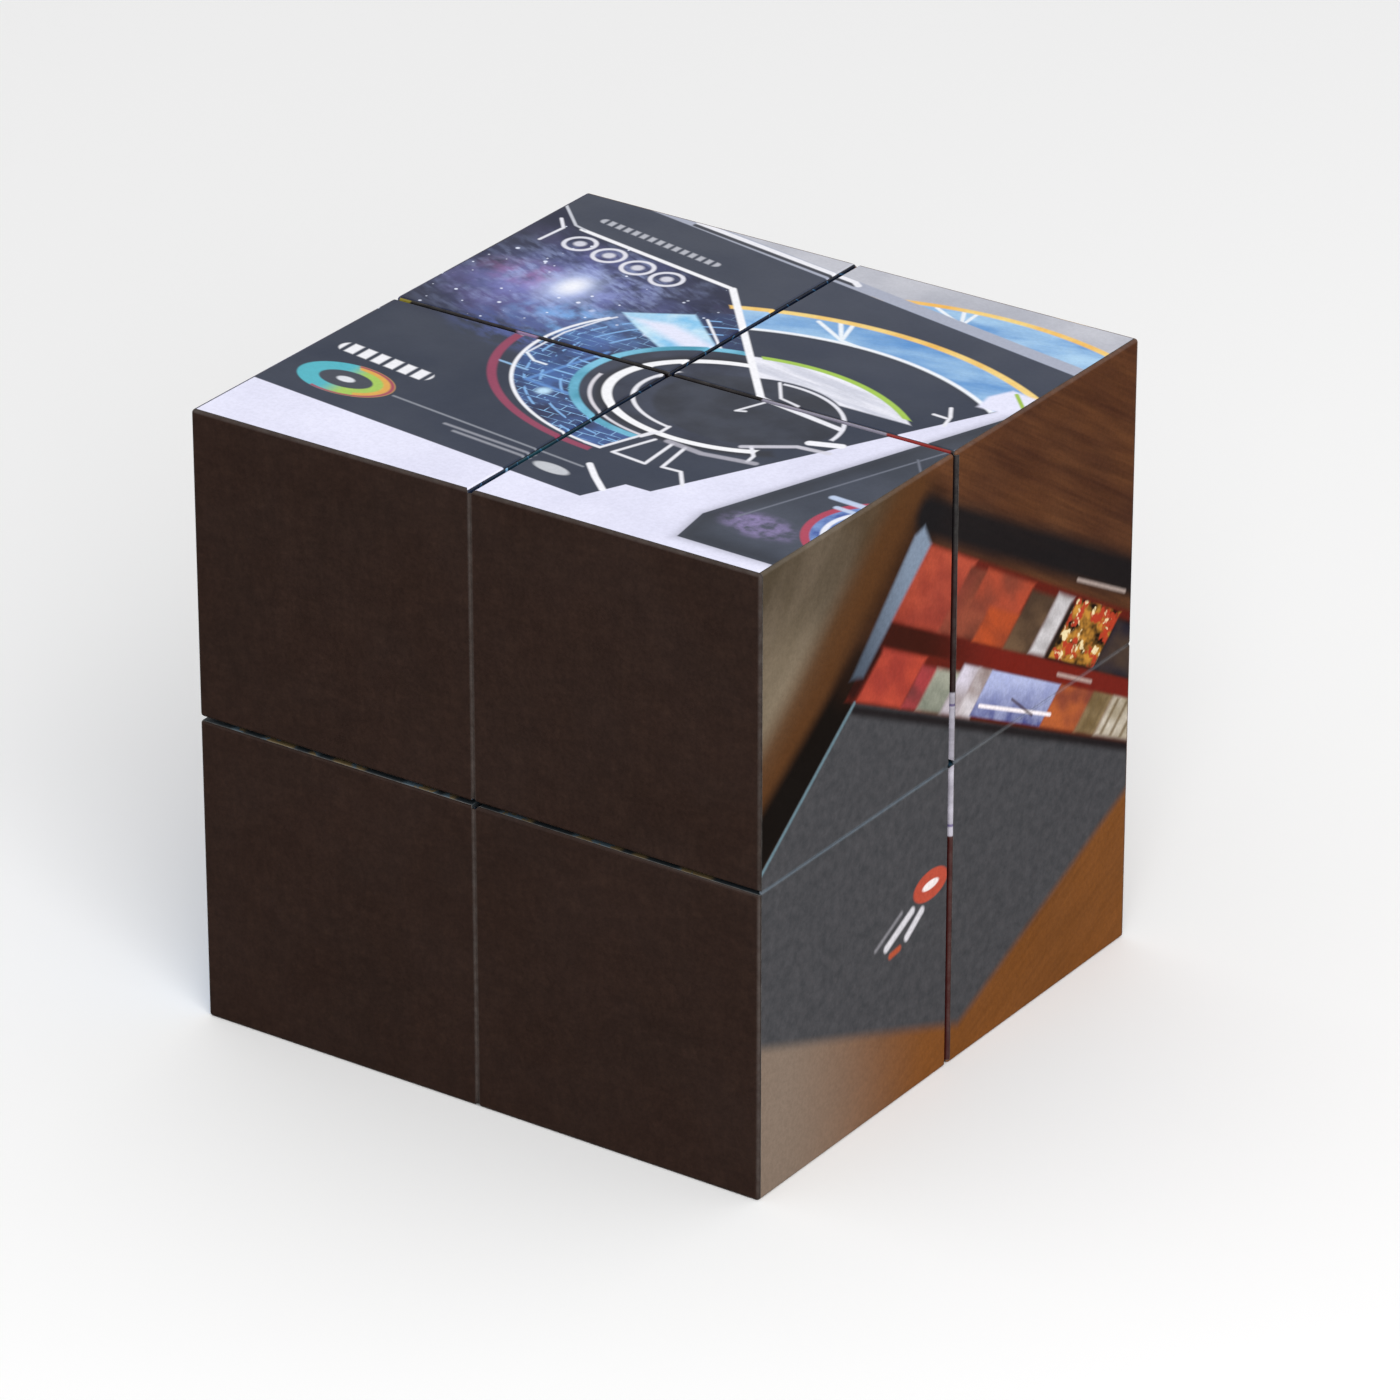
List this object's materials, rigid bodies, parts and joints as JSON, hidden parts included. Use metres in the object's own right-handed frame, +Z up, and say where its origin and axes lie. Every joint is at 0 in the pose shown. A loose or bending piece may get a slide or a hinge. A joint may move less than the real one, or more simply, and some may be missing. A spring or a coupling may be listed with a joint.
{
  "type": "folding picture cube",
  "caption": "Folding cube of hollow cubelets wrapped in printed film and joined by film hinges in a closed ring.",
  "frame": {"origin": "middle of the closed cube's bottom face, in the plane it stands on", "axes": "+Z up; +X towards the side whose level crease is a hinge; -Y towards the side whose upright crease is a hinge and that has the plain brown picture"},
  "size_m": [0.07, 0.07, 0.07],
  "materials": {
    "moulded_shell": "moulded polystyrene, satin",
    "outer_film": "printed vinyl film under a satin laminate",
    "inner_film": "printed vinyl film under a satin laminate",
    "hinge_film": "printed vinyl film under a satin laminate, creased"
  },
  "bodies": {
    "front_lower_left": {"front_lower_left_box": "moulded_shell", "front_lower_left_lid": "moulded_shell", "front_lower_left_outer_print": "outer_film", "front_lower_left_inner_print": "inner_film"},
    "front_lower_right": {"front_lower_right_box": "moulded_shell", "front_lower_right_lid": "moulded_shell", "front_lower_right_outer_print": "outer_film", "front_lower_right_inner_print": "inner_film", "front_lower_hinge": "hinge_film"},
    "front_upper_left": {"front_upper_left_box": "moulded_shell", "front_upper_left_lid": "moulded_shell", "front_upper_left_outer_print": "outer_film", "front_upper_left_inner_print": "inner_film", "front_upper_hinge": "hinge_film", "inner_upper_hinge": "hinge_film"},
    "front_upper_right": {"front_upper_right_box": "moulded_shell", "front_upper_right_lid": "moulded_shell", "front_upper_right_outer_print": "outer_film", "front_upper_right_inner_print": "inner_film", "right_front_hinge": "hinge_film"},
    "back_lower_left": {"back_lower_left_box": "moulded_shell", "back_lower_left_lid": "moulded_shell", "back_lower_left_outer_print": "outer_film", "back_lower_left_inner_print": "inner_film", "inner_lower_hinge": "hinge_film"},
    "back_lower_right": {"back_lower_right_box": "moulded_shell", "back_lower_right_lid": "moulded_shell", "back_lower_right_outer_print": "outer_film", "back_lower_right_inner_print": "inner_film", "back_lower_hinge": "hinge_film"},
    "back_upper_left": {"back_upper_left_box": "moulded_shell", "back_upper_left_lid": "moulded_shell", "back_upper_left_outer_print": "outer_film", "back_upper_left_inner_print": "inner_film", "back_upper_hinge": "hinge_film"},
    "back_upper_right": {"back_upper_right_box": "moulded_shell", "back_upper_right_lid": "moulded_shell", "back_upper_right_outer_print": "outer_film", "back_upper_right_inner_print": "inner_film", "right_back_hinge": "hinge_film"}
  },
  "joints": [
    {"name": "front_door", "type": "hinge", "parent": "front_lower_left", "child": "front_lower_right", "pos_m": [0, -0.03515, 0.0174], "axis": [0, 0, -1], "range_deg": [0, 180]},
    {"name": "front_door_upper", "type": "hinge", "parent": "front_upper_right", "child": "front_upper_left", "pos_m": [0, -0.03515, 0.0526], "axis": [0, 0, 1], "range_deg": [0, 180]},
    {"name": "back_door", "type": "hinge", "parent": "back_lower_left", "child": "back_lower_right", "pos_m": [0, 0.03515, 0.0174], "axis": [0, 0, 1], "range_deg": [0, 180]},
    {"name": "back_door_upper", "type": "hinge", "parent": "back_upper_right", "child": "back_upper_left", "pos_m": [0, 0.03515, 0.0526], "axis": [0, 0, -1], "range_deg": [0, 180]},
    {"name": "top_fold", "type": "hinge", "parent": "front_lower_right", "child": "front_upper_right", "pos_m": [0.03515, -0.0176, 0.035], "axis": [0, 1, 0], "range_deg": [0, 180]},
    {"name": "top_fold_back", "type": "hinge", "parent": "back_lower_right", "child": "back_upper_right", "pos_m": [0.03515, 0.0176, 0.035], "axis": [0, 1, 0], "range_deg": [0, 180]},
    {"name": "inner_fold", "type": "hinge", "parent": "front_lower_left", "child": "back_lower_left", "pos_m": [-0.0176, 0, 0.03495], "axis": [1, 0, 0], "range_deg": [0, 0.5]}
  ],
  "couplings": [
    {"joint": "front_door_upper", "follows": "front_door", "ratio": 1},
    {"joint": "back_door_upper", "follows": "back_door", "ratio": 1},
    {"joint": "top_fold_back", "follows": "top_fold", "ratio": 1}
  ]
}
